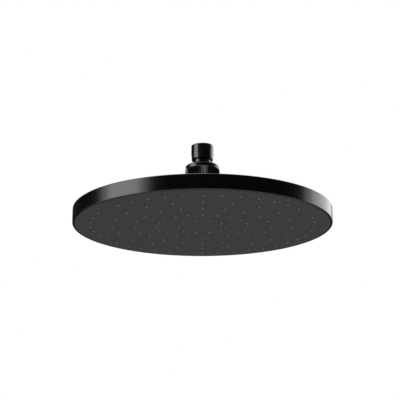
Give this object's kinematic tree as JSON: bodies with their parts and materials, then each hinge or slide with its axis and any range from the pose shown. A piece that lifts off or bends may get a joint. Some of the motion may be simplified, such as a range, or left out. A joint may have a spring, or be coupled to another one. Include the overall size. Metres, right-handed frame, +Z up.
{
  "type": "overhead shower head",
  "caption": "Round flat overhead shower head with rings of rubber nozzles, a shallow conical back and a ball joint with a female threaded inlet.",
  "frame": {"origin": "centre of the inlet thread's mouth, in the plane of the socket's top face", "axes": "+Z up along the inlet thread, out of its mouth; the spray face looks down along -Z; the two spanner flats face +X and -X"},
  "size_m": [0.3, 0.3, 0.0995],
  "materials": {
    "coated_metal": "polished brass with a dark grey vapour coating",
    "coated_shell": "moulded ABS, plated in dark grey",
    "face": "moulded ABS, satin dark grey",
    "nozzle_rubber": "moulded silicone rubber",
    "seal_rubber": "moulded rubber",
    "raw_brass": "turned brass",
    "seat_plastic": "moulded acetal",
    "inner_plastic": "moulded ABS",
    "steel": "stainless steel"
  },
  "bodies": {
    "inlet": {"ball_stem": "coated_metal", "inlet_washer": "seal_rubber", "filter_screen": "steel"},
    "regulator": {"flow_regulator": "seat_plastic", "flow_ring": "seal_rubber", "regulator_o_ring": "seal_rubber"},
    "ball_seat": {"upper_seat": "seat_plastic", "lower_seat": "seat_plastic", "ball_seal": "seal_rubber"},
    "head": {"collar_nut": "coated_metal", "shell_lock_ring": "coated_metal", "threaded_boss": "raw_brass", "boss_o_ring": "seal_rubber", "back_shell": "coated_shell", "chamber_plate": "inner_plastic", "chamber_seal": "seal_rubber", "post_seals": "seal_rubber", "chamber_screws": "steel", "nozzle_mat": "nozzle_rubber", "face_plate": "face"}
  },
  "joints": [
    {"name": "lean_direction", "type": "hinge", "parent": "inlet", "child": "regulator", "pos_m": [0, 0, -0.0315], "axis": [0, 0, 1], "continuous": true},
    {"name": "head_lean", "type": "hinge", "parent": "regulator", "child": "ball_seat", "pos_m": [0, 0, -0.0315], "axis": [1, 0, 0], "range_deg": [-15, 15]},
    {"name": "head_turn", "type": "hinge", "parent": "ball_seat", "child": "head", "pos_m": [0, 0, -0.0315], "axis": [0, 0, 1], "continuous": true}
  ]
}
